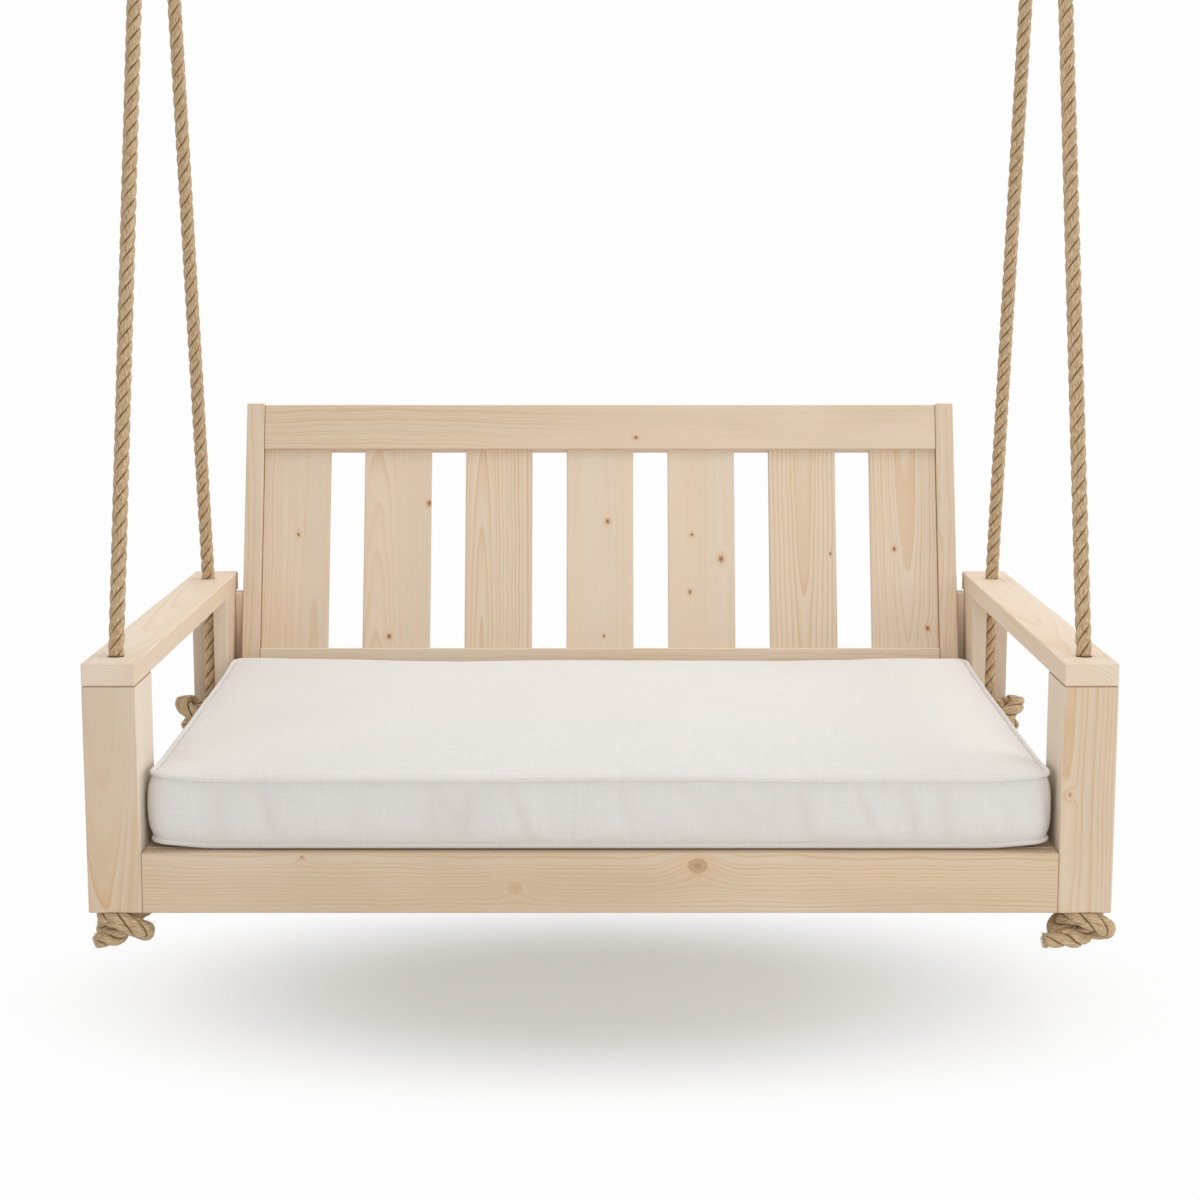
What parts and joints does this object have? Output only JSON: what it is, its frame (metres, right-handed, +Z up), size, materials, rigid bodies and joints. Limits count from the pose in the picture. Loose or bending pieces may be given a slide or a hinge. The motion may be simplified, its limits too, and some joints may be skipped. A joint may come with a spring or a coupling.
{
  "type": "hanging swing bed",
  "caption": "Porch swing bed of pale pine with a leaning slatted back, flat arms and a thick linen box cushion, hung by twisted ropes from forged ceiling hooks.",
  "frame": {"origin": "middle of the rectangle of the four hook studs, in the plane of the ceiling that the hooks' collars bear on", "axes": "+X to the sitter's left side, which is the right side in a front view; +Y from the front posts to the back; +Z up"},
  "size_m": [1.741, 1.2569, 1.9379],
  "materials": {
    "pine": "planed and oiled, matt",
    "dowel_wood": "turned, bare",
    "rope": "three-strand twisted, matt",
    "steel": "forged and galvanised, satin",
    "linen": "woven, matt",
    "foam": "open cell, matt"
  },
  "bodies": {
    "hooks": {"hook_front_left": "steel", "hook_front_right": "steel", "hook_back_left": "steel", "hook_back_right": "steel"},
    "front_ropes": {"rope_front_left": "rope", "rope_front_right": "rope", "thimble_front_left": "steel", "thimble_front_right": "steel"},
    "bench": {"front_rail": "pine", "back_rail": "pine", "side_rail_left": "pine", "side_rail_right": "pine", "front_post_left": "pine", "front_post_right": "pine", "back_post_left": "pine", "back_post_right": "pine", "arm_left": "pine", "arm_right": "pine", "ledger_front": "pine", "ledger_back": "pine", "seat_beam": "pine", "seat_slat_1": "pine", "seat_slat_2": "pine", "seat_slat_3": "pine", "seat_slat_4": "pine", "seat_slat_5": "pine", "seat_slat_6": "pine", "seat_slat_7": "pine", "seat_slat_8": "pine", "seat_slat_9": "pine", "seat_slat_10": "pine", "seat_slat_11": "pine", "stile_left": "pine", "stile_right": "pine", "back_top_rail": "pine", "back_bottom_rail": "pine", "back_slat_1": "pine", "back_slat_2": "pine", "back_slat_3": "pine", "back_slat_4": "pine", "back_slat_5": "pine", "back_slat_6": "pine", "back_slat_7": "pine", "back_spacers": "pine", "back_lag_screws": "steel", "frame_dowels": "dowel_wood", "arm_dowels": "dowel_wood", "seat_screws": "steel", "backrest_dowels": "dowel_wood", "rope_end_front_left": "rope", "rope_end_front_right": "rope", "rope_end_back_left": "rope", "rope_end_back_right": "rope"},
    "back_ropes": {"rope_back_left": "rope", "rope_back_right": "rope", "thimble_back_left": "steel", "thimble_back_right": "steel"},
    "cushion": {"cushion_cover": "linen", "cushion_foam": "foam", "cushion_piping": "linen"}
  },
  "joints": [
    {"name": "swing", "type": "hinge", "parent": "hooks", "child": "front_ropes", "pos_m": [0, -0.149, -0.105], "axis": [1, 0, 0], "range_deg": [-10, 10]},
    {"name": "bench_tilt", "type": "hinge", "parent": "front_ropes", "child": "bench", "pos_m": [0, -0.527, -1.405], "axis": [1, 0, 0], "range_deg": [-3.25, 3.25]},
    {"name": "back_rope_tilt", "type": "hinge", "parent": "bench", "child": "back_ropes", "pos_m": [0, 0.391, -1.405], "axis": [1, 0, 0], "range_deg": [-3.25, 3.25]},
    {"name": "cushion_lift", "type": "slide", "parent": "bench", "child": "cushion", "axis": [0, 0, 1], "range_m": [0, 0.3]}
  ],
  "couplings": [
    {"joint": "bench_tilt", "follows": "swing", "ratio": -0.3246},
    {"joint": "back_rope_tilt", "follows": "swing", "ratio": 0.3246}
  ]
}
